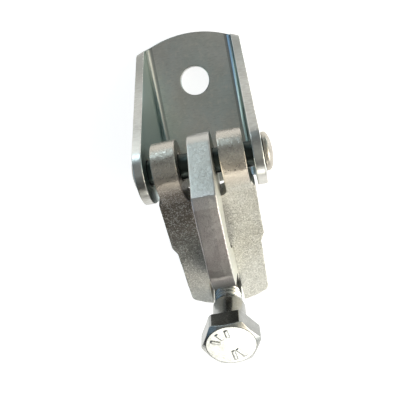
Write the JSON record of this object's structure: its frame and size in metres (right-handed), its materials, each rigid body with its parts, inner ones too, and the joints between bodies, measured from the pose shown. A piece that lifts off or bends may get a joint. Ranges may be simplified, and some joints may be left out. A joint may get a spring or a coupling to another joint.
{
  "type": "hinged rope clamp",
  "caption": "Bent U-bracket with a cross pin carrying a forked cast jaw and a humped clamp lever, drawn together by a hexagon-head bolt.",
  "frame": {"origin": "back face of the bracket's web, directly under the hinge pin", "axes": "+X along the hinge pin, +Y towards the bracket's arched end, +Z out of the open side of the bracket"},
  "size_m": [0.0432, 0.1116, 0.0586],
  "materials": {
    "zinc_sheet": "satin grey-olive zinc plating over bent sheet",
    "zinc_casting": "matt zinc-plated casting, sand-grain surface",
    "zinc_lever": "matt zinc-plated casting, darker",
    "zinc_bolt": "bright zinc plating",
    "zinc_pin": "bright zinc plating, peened heads",
    "zinc_washer": "bright zinc plating",
    "zinc_nut": "bright zinc plating"
  },
  "bodies": {
    "bracket": {"u_bracket": "zinc_sheet", "hinge_pin": "zinc_pin"},
    "jaw": {"rear_jaw": "zinc_casting"},
    "lever": {"front_lever": "zinc_lever"},
    "washer": {"bolt_washer": "zinc_washer"},
    "bolt": {"clamp_bolt": "zinc_bolt"},
    "nut": {"hex_nut": "zinc_nut"}
  },
  "joints": [
    {"name": "jaw_swing", "type": "hinge", "parent": "bracket", "child": "jaw", "pos_m": [0, 0, 0.0392], "axis": [1, 0, 0], "range_deg": [-200, 30]},
    {"name": "lever_open", "type": "hinge", "parent": "jaw", "child": "lever", "pos_m": [0, 0, 0.0392], "axis": [-1, 0, 0], "range_deg": [0, 150]},
    {"name": "bolt_shift", "type": "slide", "parent": "jaw", "child": "washer", "axis": [0, -0.9205, -0.3907], "range_m": [-0.0045, 0.014]},
    {"name": "nut_turn", "type": "hinge", "parent": "washer", "child": "nut", "pos_m": [-0.001, -0.04423, 0.01467], "axis": [0, 0.3907, -0.9205], "range_deg": [0, 2160]},
    {"name": "bolt_feed", "type": "slide", "parent": "washer", "child": "bolt", "axis": [0, -0.3907, 0.9205], "range_m": [0, 0.009]}
  ],
  "couplings": [
    {"joint": "nut_turn", "follows": "bolt_feed", "rad_per_m": 4188.8}
  ]
}
